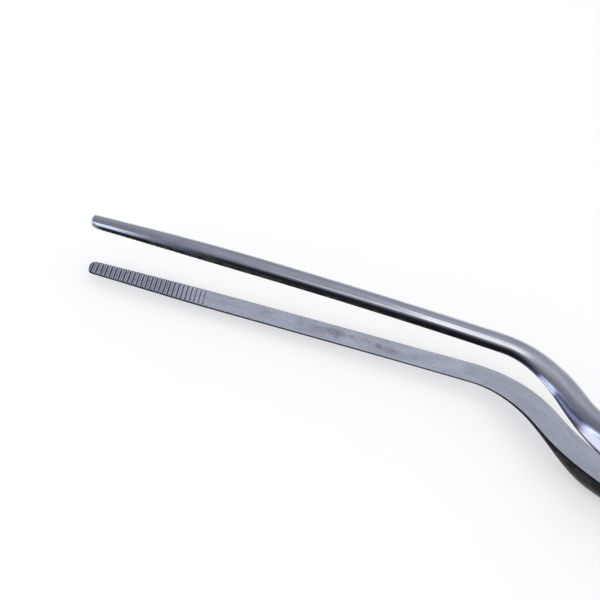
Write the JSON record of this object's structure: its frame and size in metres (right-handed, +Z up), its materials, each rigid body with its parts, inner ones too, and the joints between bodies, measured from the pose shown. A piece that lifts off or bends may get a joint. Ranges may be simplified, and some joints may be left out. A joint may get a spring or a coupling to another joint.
{
  "type": "ear packing forceps",
  "caption": "Sprung bayonet forceps: two half-round steel arms with serrated jaws step sideways into flat grooved handles and are welded together at the tail.",
  "frame": {"origin": "on the surface that the forceps lie on, under the middle of their box", "axes": "+X along the arms from the tips to the tail, +Y towards the side that the shaft steps to, +Z up, which is the closing direction of the arms"},
  "size_m": [0.1402, 0.0178, 0.011],
  "materials": {
    "steel": "stainless steel, polished on the backs and edges, satin on the inner faces"
  },
  "bodies": {
    "root": {"upper_arm": "steel", "lower_arm": "steel"}
  },
  "joints": []
}
